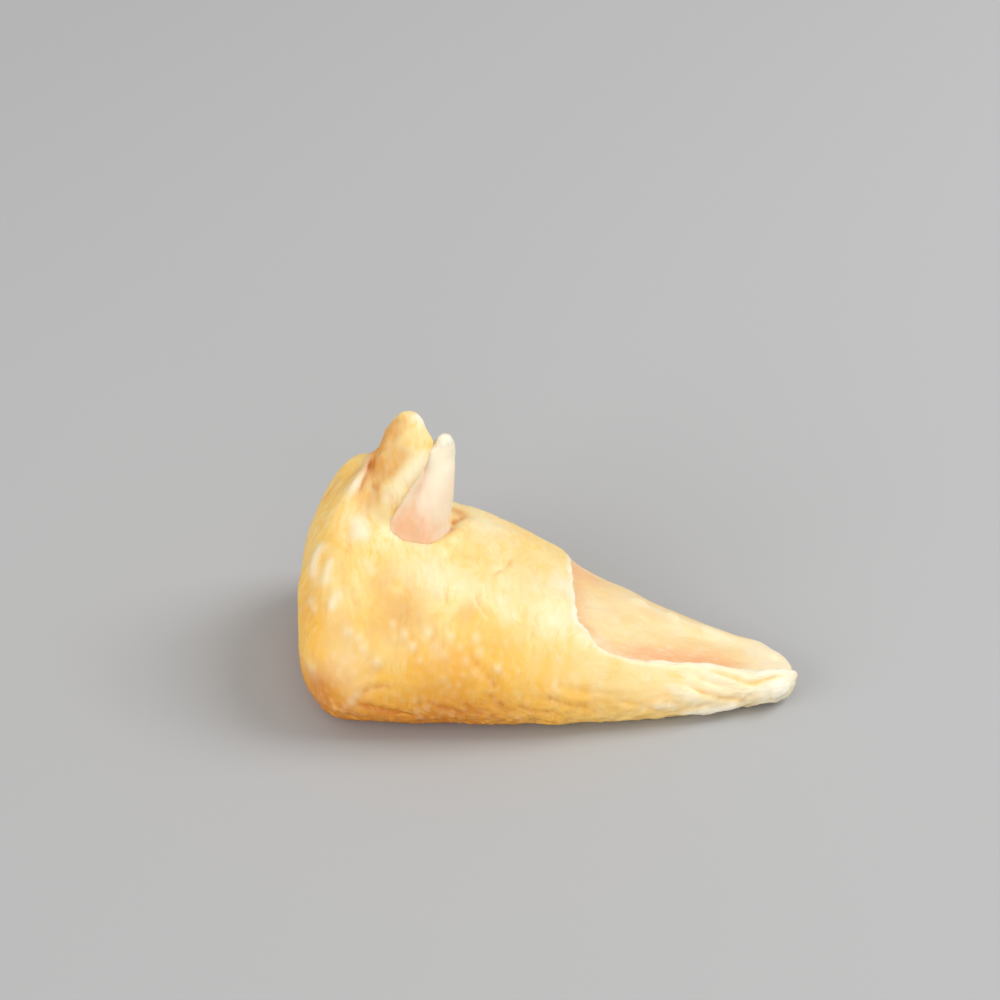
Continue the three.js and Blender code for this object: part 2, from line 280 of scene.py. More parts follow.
# The same for the wing's meat, with tones from -1 for pink to 1 for cream
WING_CREASES = {
    "lobes": (
        [(432, 455), (429, 465), (425, 475), (419, 487), (415, 496), (412, 506)],
        1.5, 0.15, 0.1, 0.1, -0.38,
    ),
}
WING_RIDGES = {
    "heel": ([(398, 520), (408, 530), (420, 532)], 4.0, 1.0, 0.0),
    "finger": ([(443, 462), (438, 485), (433, 510)], 3.4, 0.4, 0.3),
    "web": ([(429, 450), (425, 466), (421, 482), (418, 494)], 2.4, 1.1, 0.0),
}
WING_PULLS = {
    "shelf": ((431, 458), 2.4, (-0.3, 0.2, 2.0)),
}
WING_PATCHES = {
    "heel": ((404, 527), 6.0, -0.9),
    "heel_right": ((425, 533), 4.5, -0.5),
    "inner": ((412, 505), 4.0, 0.3),
    "finger": ((441, 480), 6.0, 0.5),
    "finger_foot": ((437, 512), 5.0, 0.5),
}
KNOB_SHIFT = (-0.7, 0.0, -0.4)  # how far the top of the wing leans over

# How far a form reaches from its line or spot, in half widths or radii
CREASE_REACH = 4.5
RIDGE_REACH = 2.6
SPOT_REACH = 2.4

# The meshes: gap closed by welding, levels of rounding, and rounds of smoothing for each piece
WELD_GAP = 0.02
ROUNDING = 2
SMOOTHING = {
    "breast_muscle": 10,
    "skin_guide": 6,
    "chicken_skin": 9,
    "wing_bone_end": 6,
    "wing_meat_lobes": 8,
}
GUIDE_GRAIN = 1.2  # edge length of the plain copy of the skin that the muscle is fitted under
COVER_REACH = 6.0  # skin no further outside a point of the muscle covers it
CLEARANCE = 0.05  # a search outwards starts this far off the surface
SINK = 1.2  # how far the muscle is let down where the skin covers it
HOLLOW_ROUNDS = 10  # rounds of blurring that hollows and ridges are measured against

# Where the skin changes: the start and the end of each change, in millimetres along the piece
THICK_END = (-76.0, -50.0)
SIDE_TO_STRIP = (-24.0, 34.0)
DOME_TO_TAIL = (0.0, 30.0)
TAIL_TO_TIP = (35.0, 75.0)
STROKES_END = (-15.0, 30.0)
FOOT_END = (-30.0, 8.0)
# The same in millimetres above the floor
SIDE_TO_TOP = (13.0, 48.0)
STROKES_TOP = (4.0, 20.0)
FOOT_TOP = (3.0, 26.0)
CROWN = (46.0, 56.0)
ABOVE_SIDE = (48.0, 58.0)
# How squarely the skin faces along the piece where its folds turn
FACING_END = (0.5, 0.8)
# Where the muscle turns pale along its tip, and heights below which the wing's meat is pink
FLESH_TIP = (56.0, 70.0)
WING_FOOT = (40.0, 56.0)
WING_REAR = (58.0, 76.0)

# The soft lights: place and side, in metres
LIGHTS = {
    "key": ((1.2, 0.24, 1.36), 0.96),
    "fill": ((-1.8, -1.35, 0.95), 1.7),
    "front": ((0.4, -2.3, 0.6), 1.6),
}
LIGHTS_AIM = Vector((0.0, 0.0, 0.03))
FLOOR_REACH = 6.0


def srgb(red, green, blue):
    """The linear values that shaders use for a colour as it looks on screen, from 0 to 255."""
    def linear(value):
        value /= 255.0
        return value / 12.92 if value <= 0.04045 else ((value + 0.055) / 1.055) ** 2.4
    return (linear(red), linear(green), linear(blue))


def length(value, name, description):
    """A size that a user can change, given here in millimetres."""
    return bpy.props.FloatProperty(
        name=name, description=description, default=value * MM, min=0.0, precision=5,
        subtype="DISTANCE", unit="LENGTH",
    )


def power(value, name, description):
    """A light's power, which a user can change."""
    return bpy.props.FloatProperty(
        name=name, description=description, default=value, min=0.0, unit="POWER"
    )


def tint(value, name, description):
    """A colour that a user can change."""
    return bpy.props.FloatVectorProperty(
        name=name, description=description, default=value, size=3, min=0.0, max=1.0, subtype="COLOR"
    )


class SkinSettings(bpy.types.PropertyGroup):
    """Sizes and colours of the yellow skin."""

    grain: length(0.75, "Grain", "Edge length of the skin's mesh")
    pimple: length(0.42, "Pimple height", "Height of the follicle pimples")
    wrinkle: length(0.28, "Wrinkle depth", "Depth of the fine wrinkles")
    # The pale top, the golden sides and the deep colour low down and in creases are partly painted
    # light and shade
    pale: tint(srgb(241, 219, 152), "Pale skin", "Colour of the skin on top")
    gold: tint(srgb(250, 192, 72), "Golden skin", "Colour of the skin on its sides")
    deep: tint(srgb(209, 127, 14), "Deep skin", "Colour of the skin low down and in its creases")
    shade: tint(srgb(186, 104, 14), "Shade", "Colour of the finest furrows at the foot")
    fat: tint(srgb(245, 238, 217), "Fat", "Colour of the skin's cut edge and of the fat under it")


class FleshSettings(bpy.types.PropertyGroup):
    """Sizes and colours of the bare muscle."""

    grain: length(0.9, "Grain", "Edge length of the muscle's mesh")
    pale: tint(srgb(236, 202, 136), "Golden muscle", "Colour of the muscle in the open")
    # Pink beside the skin is partly painted shade, and the white also goes on painted highlights
    pink: tint(srgb(234, 176, 122), "Pink muscle", "Colour of the muscle beside the skin")
    white: tint(srgb(238, 223, 188), "White muscle", "Colour of the muscle's tip and of its film")


class WingSettings(bpy.types.PropertyGroup):
    """Sizes and colours of the wing's first joint."""

    grain: length(0.55, "Grain", "Edge length of the wing's mesh")
    bare_end: length(2.6, "Bare end", "How far the bone's end stands out of the meat")
    pale: tint(srgb(240, 216, 186), "Pale meat", "Colour of the wing's meat higher up")
    pink: tint(srgb(230, 172, 124), "Pink meat", "Colour of the wing's meat at its foot")
    cream: tint(srgb(241, 229, 202), "Cream meat", "Colour of the wing's meat at its palest")
    cartilage: tint(srgb(244, 235, 208), "Cartilage", "Colour of the bone's end")


class StageSettings(bpy.types.PropertyGroup):
    """The studio round the piece."""

    floor: tint((0.44, 0.44, 0.44), "Floor", "Colour of the floor")
    key_power: power(20.2, "Key light", "Power of the soft light at the right")
    fill_power: power(26.0, "Fill light", "Power of the low soft light at the left")
    front_power: power(13.0, "Front light", "Power of the low soft light in front")
    room: bpy.props.FloatProperty(
        name="Room light", description="Strength of the even light from all round",
        default=0.55, min=0.0,
    )


def camera_axes():
    """The camera's right, up and backward directions."""
    elevation = math.radians(CAMERA_ELEVATION)
    back = Vector((0.0, -math.cos(elevation), math.sin(elevation)))
    right = Vector((1.0, 0.0, 0.0))
    return right, back.cross(right), back


def set_camera():
    """A long lens that looks down on the piece from the front."""
    right, up, back = camera_axes()
    data = bpy.data.cameras.new("studio_camera")
    data.sensor_width = SENSOR
    data.lens = SENSOR * CAMERA_DISTANCE / (PICTURE_SCALE * PICTURE_SIDE)
    data.clip_start, data.clip_end = CAMERA_REACH
    camera = bpy.data.objects.new("studio_camera", data)
    bpy.context.scene.collection.objects.link(camera)
    turn = Matrix((right, up, back)).transposed().to_4x4()
    place = (Vector(CAMERA_AIM) + back * CAMERA_DISTANCE) * MM
    camera.matrix_world = Matrix.Translation(place) @ turn
    bpy.context.scene.camera = camera


def ease(value, low, high):
    """A smooth step from 0 at low to 1 at high."""
    step = np.clip((value - low) / (high - low), 0.0, 1.0)
    return step * step * (3.0 - 2.0 * step)


def bell(distance, width):
    """A rounded bump that has faded away at about twice its width."""
    return np.exp(-(distance / width) ** 2)


def grain_of(places, size, seed, octaves=1):
    """Smooth noise from about -1 to 1 at each place, with waves of the size along each axis."""
    scaled = places / np.broadcast_to(np.asarray(size, float), (3,)) + seed * 17.31
    if octaves == 1:
        return np.array([noise.noise(spot) for spot in scaled.tolist()])
    return np.array([noise.fractal(spot, 0.7, 2.1, octaves) for spot in scaled.tolist()])


def smooth_line(points, step):
    """Points at an even step along a smooth curve through the given ones."""
    points = np.array(points, float)
    ends = np.vstack([2 * points[0] - points[1], points, 2 * points[-1] - points[-2]])
    curve = [points[0]]
    for before, start, stop, after in zip(ends, ends[1:], ends[2:], ends[3:]):
        count = max(2, int(np.linalg.norm(stop - start) / step))
        for t in np.linspace(0.0, 1.0, count + 1)[1:]:
            curve.append(0.5 * (
                2 * start + (stop - before) * t
                + (2 * before - 5 * start + 4 * stop - after) * t ** 2
                + (3 * start - before - 3 * stop + after) * t ** 3
            ))
    return np.array(curve)


class Shape:
    """The fine mesh of a piece while it is shaped, in millimetres."""

    def __init__(self, piece):
        self.piece = piece
        self.mesh = piece.data
        self.count = len(self.mesh.vertices)
        edges = np.empty(len(self.mesh.edges) * 2, np.int32)
        self.mesh.edges.foreach_get("vertices", edges)
        self.first, self.second = edges.reshape(-1, 2).T
        self.valence = np.maximum(np.bincount(edges, minlength=self.count), 1).astype(float)
        self.read()

    def read(self):
        """Takes places, normals and the search tree from the mesh as it is now."""
        places = np.empty(self.count * 3, np.float32)
        self.mesh.vertices.foreach_get("co", places)
        normals = np.empty(self.count * 3, np.float32)
        self.mesh.vertex_normals.foreach_get("vector", normals)
        self.places = places.reshape(-1, 3).astype(float) / MM
        self.normals = normals.reshape(-1, 3).astype(float)
        self.tree = None

    def search_tree(self):
        """A tree of the faces, in metres, for finding points on the surface."""
        if self.tree is None:
            faces = bmesh.new()
            faces.from_mesh(self.mesh)
            self.tree = BVHTree.FromBMesh(faces)
            faces.free()
        return self.tree

    def move(self, shift):
        """Moves the vertices, none of them through the floor."""
        places = self.places + shift
        places[:, 2] = np.maximum(places[:, 2], 0.0)
        self.mesh.vertices.foreach_set("co", (places * MM).astype(np.float32).ravel())
        self.mesh.update()
        self.read()

    def lift(self, height):
        """Moves the vertices along their normals."""
        self.move(self.normals * height[:, None])

    def blur(self, values, rounds):
        """Values averaged with their neighbours', round after round."""
        if values.ndim > 1:
            return np.stack([self.blur(column, rounds) for column in values.T], 1)
        for _ in range(rounds):
            total = np.bincount(self.first, values[self.second], self.count)
            total += np.bincount(self.second, values[self.first], self.count)
            values = 0.5 * values + 0.5 * total / self.valence
        return values

    def hollow(self):
        """How far each place lies below the blurred surface: creases above 0, ridges below."""
        return ((self.blur(self.places, HOLLOW_ROUNDS) - self.places) * self.normals).sum(1)

    def cast(self, spot):
        """The point on the surface under a spot of the picture, or nothing where it is missed."""
        right, up, back = camera_axes()
        eye = Vector(CAMERA_AIM) + back * CAMERA_DISTANCE
        across, down = ((value - PICTURE_SIDE / 2) * PICTURE_SCALE for value in spot)
        aim = right * across - up * down - back * CAMERA_DISTANCE
        hit = self.search_tree().ray_cast(eye * MM, aim.normalized())[0]
        return None if hit is None else np.array(hit) / MM

    def touch(self, spot):
        """The point on the surface under a spot of the picture."""
        hit = self.cast(spot)
        if hit is None:
            raise RuntimeError(f"the spot {spot} of the picture misses {self.piece.name}")
        return hit

    def trace(self, line):
        """The points on the surface under a line that is drawn over the picture."""
        found = [self.cast(spot) for spot in smooth_line(line, LINE_STEP)]
        found = [hit for hit in found if hit is not None]
        if len(found) < 2:
            raise RuntimeError(f"a line drawn over the picture misses {self.piece.name}: {line}")
        return np.array(found)

    def beside(self, line, reach):
        """The vertices within reach of a line of points, with their distance from it, the share of
        its length that lies before them, and the way to it."""
        inside = ((self.places > line.min(0) - reach) & (self.places < line.max(0) + reach)).all(1)
        near = np.nonzero(inside)[0]
        spots = self.places[near]
        lengths = np.linalg.norm(np.diff(line, axis=0), axis=1)
        before = np.concatenate([[0.0], np.cumsum(lengths)])
        best = np.full(len(near), np.inf)
        along = np.zeros(len(near))
        way = np.zeros((len(near), 3))
        for start, stop, size, run in zip(line, line[1:], lengths, before):
            if not 1e-6 < size < LONGEST_LEG:
                continue
            leg = stop - start
            part = np.clip((spots - start) @ leg / size ** 2, 0.0, 1.0)
            gap = start + part[:, None] * leg - spots
            distance = np.linalg.norm(gap, axis=1)
            closer = distance < best
            best[closer] = distance[closer]
            along[closer] = (run + part[closer] * size) / before[-1]
            way[closer] = gap[closer]
        kept = best < reach
        return near[kept], best[kept], along[kept], way[kept]

    def soften(self, rounds, weight):
        """Blurs the surface where the weight says."""
        self.move((self.blur(self.places, rounds) - self.places) * weight[:, None])

    def gap_to(self, other):
        """Each vertex's distance from another shape."""
        tree = other.search_tree()
        return np.array([tree.find_nearest(Vector(spot) * MM)[3] for spot in self.places]) / MM

    def keep(self, name, values):
        """Stores a value for each vertex, for the material."""
        attribute = self.mesh.attributes.new(name, "FLOAT", "POINT")
        attribute.data.foreach_set("value", np.asarray(values, np.float32))


def add_piece(name, mesh):
    """A smooth-shaded object of the mesh."""
    mesh.shade_smooth()
    piece = bpy.data.objects.new(name, mesh)
    bpy.context.scene.collection.objects.link(piece)
    return piece


def soft_copy(nodes, name, grain):
    """A fine, rounded copy of frame nodes grown into one, with an even mesh of the given grain."""
    joined = bmesh.new()
    for node in nodes:
        joined.from_mesh(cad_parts[node].data)
    mesh = bpy.data.meshes.new(name)
    joined.to_mesh(mesh)
    joined.free()
    piece = add_piece(name, mesh)
    weld = piece.modifiers.new("weld", "WELD")
    weld.merge_threshold = WELD_GAP * MM
    round_off = piece.modifiers.new("round", "SUBSURF")
    round_off.levels = ROUNDING
    even = piece.modifiers.new("even", "REMESH")
    even.mode = "VOXEL"
    even.voxel_size = grain
    even.use_smooth_shade = True
    relax = piece.modifiers.new("relax", "SMOOTH")
    relax.factor = 0.5
    relax.iterations = SMOOTHING[name]
    bpy.context.view_layer.update()
    result = piece.evaluated_get(bpy.context.evaluated_depsgraph_get())
    fine = bpy.data.meshes.new_from_object(result)
    piece.modifiers.clear()
    piece.data = fine
    fine.name = name
    return piece


def finish_piece(piece, node, material):
    """Sets the piece in the frame in place of its node."""
    piece.data.materials.clear()
    piece.data.materials.append(material)
    piece.data.shade_smooth()
    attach(piece, "root")
    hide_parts(node)


class Finish:
    """A material that is put together node by node."""

    def __init__(self, name):
        self.material = bpy.data.materials.new(name)
        self.material.use_nodes = True
        self.tree = self.material.node_tree
        self.tree.nodes.clear()
        self.place = self.add("ShaderNodeTexCoord").outputs["Object"]

    def add(self, kind, inputs=None, **settings):
        """A node with its settings, and its inputs either linked or set."""
        node = self.tree.nodes.new(kind)
        for key, value in settings.items():
            setattr(node, key, value)
        for key, value in (inputs or {}).items():
            if isinstance(value, bpy.types.NodeSocket):
                self.tree.links.new(value, node.inputs[key])
            else:
                node.inputs[key].default_value = value
        return node

    def stir(self, size, reach):
        """Shifts the places that later noise is read at by up to about the reach, so that its waves
        wander."""
        swirl = self.add("ShaderNodeTexNoise", {
            "Vector": self.place, "Scale": 1.0 / (size * MM), "Detail": 1.0
        })
        away = self.shifted("SUBTRACT", {0: swirl.outputs["Color"], 1: (0.5, 0.5, 0.5)})
        away = self.shifted("SCALE", {0: away, "Scale": 2.0 * reach * MM})
        self.place = self.shifted("ADD", {0: self.place, 1: away})

    def shifted(self, operation, inputs):
        """A place after an operation on it."""
        return self.add("ShaderNodeVectorMath", inputs, operation=operation).outputs[0]

    def mask(self, name):
        """A value stored on the mesh."""
        return self.add("ShaderNodeAttribute", attribute_name=name).outputs["Fac"]

    def noise(self, size, detail=2.0, stretch=(1.0, 1.0, 1.0), turn=0.0):
        """Noise with waves of the given size in millimetres, from 0 to 1, stretched along the axes
        and turned as seen from the front."""
        place = self.place
        if stretch != (1.0, 1.0, 1.0):
            scale = tuple(1.0 / part for part in stretch)
            place = self.add("ShaderNodeMapping", {
                "Vector": place, "Rotation": (0.0, turn, 0.0), "Scale": scale
            }, vector_type="TEXTURE").outputs["Vector"]
        return self.add("ShaderNodeTexNoise", {
            "Vector": place, "Scale": 1.0 / (size * MM), "Detail": detail
        }).outputs["Fac"]

    def remap(self, value, low, high, to_low=0.0, to_high=1.0):
        """A value moved smoothly from one range to another."""
        return self.add("ShaderNodeMapRange", {
            "Value": value, "From Min": low, "From Max": high, "To Min": to_low, "To Max": to_high
        }, interpolation_type="SMOOTHSTEP").outputs["Result"]

    def sum(self, first, second, operation="ADD", clamp=False):
        """Two values added, or put together by another operation."""
        inputs = {0: first, 1: second}
        node = self.add("ShaderNodeMath", inputs, operation=operation, use_clamp=clamp)
        return node.outputs[0]

    def times(self, first, second):
        """Two values multiplied."""
        return self.sum(first, second, "MULTIPLY")

    def blend(self, factor, first, second):
        """Two values mixed."""
        node = self.add("ShaderNodeMix", {0: factor, 2: first, 3: second}, data_type="FLOAT")
        return node.outputs[0]

    def mix(self, factor, first, second):
        """Two colours mixed."""
        node = self.add("ShaderNodeMix", data_type="RGBA")
        for key, value in ((0, factor), (6, first), (7, second)):
            if isinstance(value, bpy.types.NodeSocket):
                self.tree.links.new(value, node.inputs[key])
            else:
                plain_value = value if isinstance(value, float) else (*value, 1.0)
                node.inputs[key].default_value = plain_value
        return node.outputs[2]

    def bump(self, height, depth, normal=None):
        """A surface normal from a height that goes from 0 to 1 over the depth in millimetres."""
        inputs = {"Height": height, "Strength": 1.0, "Distance": depth * MM}
        if normal is not None:
            inputs["Normal"] = normal
        return self.add("ShaderNodeBump", inputs).outputs["Normal"]

    def close(self, colour, normal, roughness, **values):
        """Ends the material in its shader, on which values that are the same all over are set."""
        shader = self.add("ShaderNodeBsdfPrincipled", {
            "Base Color": colour, "Normal": normal, "Roughness": roughness
        })
        for key, value in values.items():
            shader.inputs[key.replace("_", " ")].default_value = value
        self.add("ShaderNodeOutputMaterial", {"Surface": shader.outputs[0]})
        return self.material


def flesh_light(scale, weight):
    """Shader values of a raw, moist surface that light spreads under, by so many millimetres."""
    return {
        "Subsurface_Weight": weight,
        "Subsurface_Radius": (1.0, 0.55, 0.3),
        "Subsurface_Scale": scale * MM,
        "Specular_IOR_Level": 0.45,
        "Coat_Weight": 0.12,
        "Coat_Roughness": 0.22,
    }


def skin_finish(settings):
    """Yellow fatty skin: pale on top, golden on its sides, deeper in creases, hollows and at its
    foot, partly as painted light and shade, and white at its cut edge, where its fat shows, and
    where highlights are painted."""
    look = Finish("yellow_skin")
    look.stir(20.0, 4.0)
    folds = look.noise(3.2, 1.0, (1.0, 0.3, 0.16))
    folds = look.blend(look.mask("end"), folds, look.noise(3.2, 1.0, (0.3, 1.0, 0.16)))
    folds = look.blend(look.mask("tail"), folds, look.noise(3.2, 1.0, (0.16, 1.0, 1.0)))
    folds = look.sum(look.sum(folds, 0.5, "SUBTRACT"), 0.0, "ABSOLUTE")
    lines = look.times(look.remap(folds, 0.1, 0.0), look.remap(look.noise(7.0, 1.0), 0.45, 0.65))
    look.stir(10.0, 3.0)
    patches = look.remap(look.noise(12.0, 3.0, (1.0, 0.6, 0.6)), 0.4, 0.62)
    around = look.noise(1.6, 3.0, (1.0, 0.3, 0.3))
    around = look.blend(look.mask("end"), around, look.noise(1.6, 3.0, (0.3, 1.0, 0.3)))
    strands = look.blend(look.mask("tail"), around, look.noise(1.6, 3.0, (0.2, 1.0, 1.0)))
    plain = look.remap(look.noise(9.0, 2.0), 0.35, 0.6, 0.35, 1.0)
    furrows = look.times(look.remap(strands, 0.52, 0.36), plain)
    crests = look.times(look.remap(strands, 0.52, 0.68), plain)
    # golden low down and at the thick end, partly painted shade, with golden patches
    low = look.sum(look.mask("low"), look.times(patches, 0.35), clamp=True)
    colour = look.mix(low, settings.pale[:], settings.gold[:])
    plainer = look.remap(look.mask("streaks"), 0.0, 1.0, 0.35, 0.7)
    colour = look.mix(look.times(furrows, plainer), colour, settings.gold[:])
    colour = look.mix(look.times(crests, plainer), colour, settings.pale[:])
    colour = look.mix(look.times(lines, 0.25), colour, settings.gold[:])
    # painted shade: the deep colour in creases, hollows and at the foot, golden on the tail
    deep = look.mix(look.mask("tail"), settings.deep[:], settings.gold[:])
    colour = look.mix(look.mask("deep"), colour, deep)
    strokes = look.noise(1.2, 3.0, (0.22, 1.0, 1.0), 0.5)
    dark = look.times(look.remap(strokes, 0.5, 0.36), look.mask("hem"))
    bright = look.times(look.remap(strokes, 0.54, 0.68), look.mask("hem"))
    colour = look.mix(look.times(dark, 0.55), colour, settings.shade[:])
    colour = look.mix(look.times(bright, 0.6), colour, settings.gold[:])
    # the fat at the cut edge and on pale pimples, with painted highlights from the pale tones
    colour = look.mix(look.mask("light"), colour, settings.fat[:])
    rough = look.remap(look.noise(4.0, 3.0), 0.3, 0.7, 0.42, 0.6)
    normal = look.bump(look.times(strands, plain), 0.24)
    normal = look.bump(look.sum(1.0, lines, "SUBTRACT"), 0.1, normal)
    normal = look.bump(look.noise(0.7, 3.0), 0.06, normal)
    return look.close(colour, normal, rough, **flesh_light(1.4, 0.25))


def flesh_finish(settings):
    """Raw white muscle with a grain along it, pink by the skin, partly as painted shade, and pale
    where a film covers it and where highlights are painted.
    """
    look = Finish("bare_muscle")
    strands = look.noise(1.3, 3.0, (0.12, 1.0, 1.0))
    clouds = look.remap(look.noise(9.0, 2.0, (0.5, 1.0, 1.0)), 0.4, 0.66)
    colour = look.mix(look.times(clouds, 0.15), settings.pale[:], settings.white[:])
    colour = look.mix(look.mask("pink"), colour, settings.pink[:])
    colour = look.mix(look.times(look.remap(strands, 0.5, 0.75), 0.3), colour, settings.white[:])
    colour = look.mix(look.mask("film"), colour, settings.white[:])
    rough = look.remap(look.noise(3.0, 2.0), 0.3, 0.7, 0.42, 0.55)
    normal = look.bump(strands, 0.13)
    normal = look.bump(look.noise(2.4, 2.0), 0.07, normal)
    return look.close(colour, normal, rough, **flesh_light(3.0, 0.4))


def wing_finish(settings):
    """Tender meat of the wing: pale, with a pink foot."""
    look = Finish("wing_meat")
    strands = look.noise(1.0, 3.0, (1.0, 0.6, 0.15))
    colour = look.mix(look.mask("pink"), settings.pale[:], settings.pink[:])
    colour = look.mix(look.mask("film"), colour, settings.cream[:])
    colour = look.mix(look.times(look.remap(strands, 0.5, 0.75), 0.15), colour, settings.cream[:])
    rough = look.remap(look.noise(3.0, 2.0), 0.3, 0.7, 0.28, 0.42)
    return look.close(colour, look.bump(strands, 0.06), rough, **flesh_light(2.5, 0.4))


def cartilage_finish(settings):
    """Smooth white gristle."""
    look = Finish("cartilage")
    clouds = look.remap(look.noise(3.0, 2.0), 0.35, 0.7)
    colour = look.mix(look.times(clouds, 0.2), settings.cartilage[:], settings.pale[:])
    rough = look.remap(look.noise(2.0, 2.0), 0.3, 0.7, 0.42, 0.54)
    return look.close(colour, look.bump(look.noise(1.2, 2.0), 0.05), rough, **flesh_light(2.5, 0.4))


class Relief:
    """Creases, ridges, patches and pulls gathered over a shape before they are given to it."""

    def __init__(self, shape):
        self.shape = shape
        self.shift = np.zeros((shape.count, 3))
        self.pale = np.zeros(shape.count)
        self.deep = np.zeros(shape.count)

    def paint(self, near, amount, tone):
        """Adds to the pale tone, or to the deep one where the tone is below 0."""
        layer = self.pale if tone > 0 else self.deep
        layer[near] = 1.0 - (1.0 - layer[near]) * (1.0 - abs(tone) * amount)

    def creases(self, lines):
        """Grooves of uneven depth with raised lips, which draw the surface in."""
        for line, width, depth, lip, pull, tone in lines.values():
            drawn = self.shape.trace(line)
            near, distance, along, way = self.shape.beside(drawn, width * CREASE_REACH)
            uneven = 0.85 + 0.45 * grain_of(self.shape.places[near], 4.0, seed=31)
            fade = ease(along, 0.0, 0.25) * ease(1.0 - along, 0.0, 0.25) * uneven
            height = lip * bell(distance - 2.2 * width, 1.1 * width) - depth * bell(distance, width)
            inward = way / np.maximum(distance, 0.05)[:, None]
            self.shift[near] += self.shape.normals[near] * (height * fade)[:, None]
            beside = bell(distance - 1.4 * width, width)
            self.shift[near] += inward * (pull * fade * beside)[:, None]
            # paints the tone along the groove; on the skin a tone below 0 is painted shade in the
            # crease
            self.paint(near, np.clip(fade, 0.0, 1.0) * bell(distance, 1.3 * width), tone)

    def ridges(self, lines):
        """Rounded ridges."""
        for line, width, rise, tone in lines.values():
            drawn = self.shape.trace(line)
            near, distance, along, _ = self.shape.beside(drawn, width * RIDGE_REACH)
            fade = ease(along, -0.1, 0.3) * ease(1.0 - along, -0.1, 0.3)
            height = rise * bell(distance, width) * fade
            self.shift[near] += self.shape.normals[near] * height[:, None]
            self.paint(near, fade * bell(distance, width), tone)

    def patches(self, spots):
        """Soft-edged patches of tone with an uneven outline."""
        for spot, radius, tone in spots.values():
            near, distance = self.around(spot, radius)
            places = self.shape.places[near]
            uneven = 1.0 + 0.45 * grain_of(places, (4.0, 6.0, 6.0), seed=32, octaves=2)
            self.paint(near, bell(distance * uneven, radius), tone)

    def pulls(self, spots):
        """Stretches the surface round each spot by its shift."""
        for spot, radius, shift in spots.values():
            near, distance = self.around(spot, radius)
            self.shift[near] += bell(distance, radius)[:, None] * np.array(shift)

    def around(self, spot, radius):
        """The vertices that a form reaches round a spot of the picture, and their distances."""
        distance = np.linalg.norm(self.shape.places - self.shape.touch(spot), axis=1)
        near = np.nonzero(distance < radius * SPOT_REACH)[0]
        return near, distance[near]

    def give(self):
        """Moves the surface."""
        self.shape.move(self.shift)
        self.shift[:] = 0.0


def scatter(shape, spacing, jitter, seed):
    """Vertices picked at an uneven spacing all over the surface."""
    draw = np.random.default_rng(seed)
    order = draw.permutation(shape.count)
    taken = {}
    picked = []
    for index in order:
        spot = shape.places[index]
        gap = spacing * (1.0 + jitter * (draw.random() - 0.5))
        cell = tuple((spot // spacing).astype(int))
        neighbours = (
            other for x in (-1, 0, 1) for y in (-1, 0, 1) for z in (-1, 0, 1)
            for other in taken.get((cell[0] + x, cell[1] + y, cell[2] + z), ())
        )
        if all(np.linalg.norm(shape.places[other] - spot) >= gap for other in neighbours):
            taken.setdefault(cell, []).append(index)
            picked.append(index)
    return np.array(picked)


def add_pimples(shape, height, strength):
    """Raises the follicle pimples, as strong as given for their places, and returns their mark."""
    mark = np.zeros(shape.count)
    draw = np.random.default_rng(11)
    tree = KDTree(shape.count)
    for index, spot in enumerate(shape.places):
        tree.insert(spot, index)
    tree.balance()
    pimples = [
        (
            shape.places[index],
            0.8 + 0.5 * draw.random(),
            strength[index] * (0.4 + 0.6 * draw.random()),
        )
        for index in scatter(shape, PIMPLE_GAP, jitter=0.6, seed=7) if strength[index] > 0.05
    ]
    pimples += [
        (shape.touch(spot), 1.1 + 0.5 * draw.random(), 0.7 + 0.5 * draw.random())
        for spot in PLAIN_PIMPLES
    ]
    for place, size, tall in pimples:
        for spot, other, _ in tree.find_range(place, size * 2.8):
            distance = np.linalg.norm((spot - Vector(place)) * PIMPLE_SQUASH)
            mark[other] = max(mark[other], tall * math.exp(-(distance / size) ** 2))
    shape.lift(mark * height)
    return mark


def bare_points(flesh, skin):
    """For each flesh vertex, whether no skin lies outside it."""
    tree = skin.search_tree()
    bare = np.empty(flesh.count, bool)
    for index, (spot, way) in enumerate(zip(flesh.places, flesh.normals)):
        start = Vector(spot + way * CLEARANCE) * MM
        bare[index] = tree.ray_cast(start, Vector(way), COVER_REACH * MM)[0] is None
    return bare


def distance_from(places, others):
    """Each place's distance from the nearest of the others."""
    tree = KDTree(len(others))
    for index, spot in enumerate(others):
        tree.insert(spot, index)
    tree.balance()
    return np.array([tree.find(spot)[2] for spot in places])


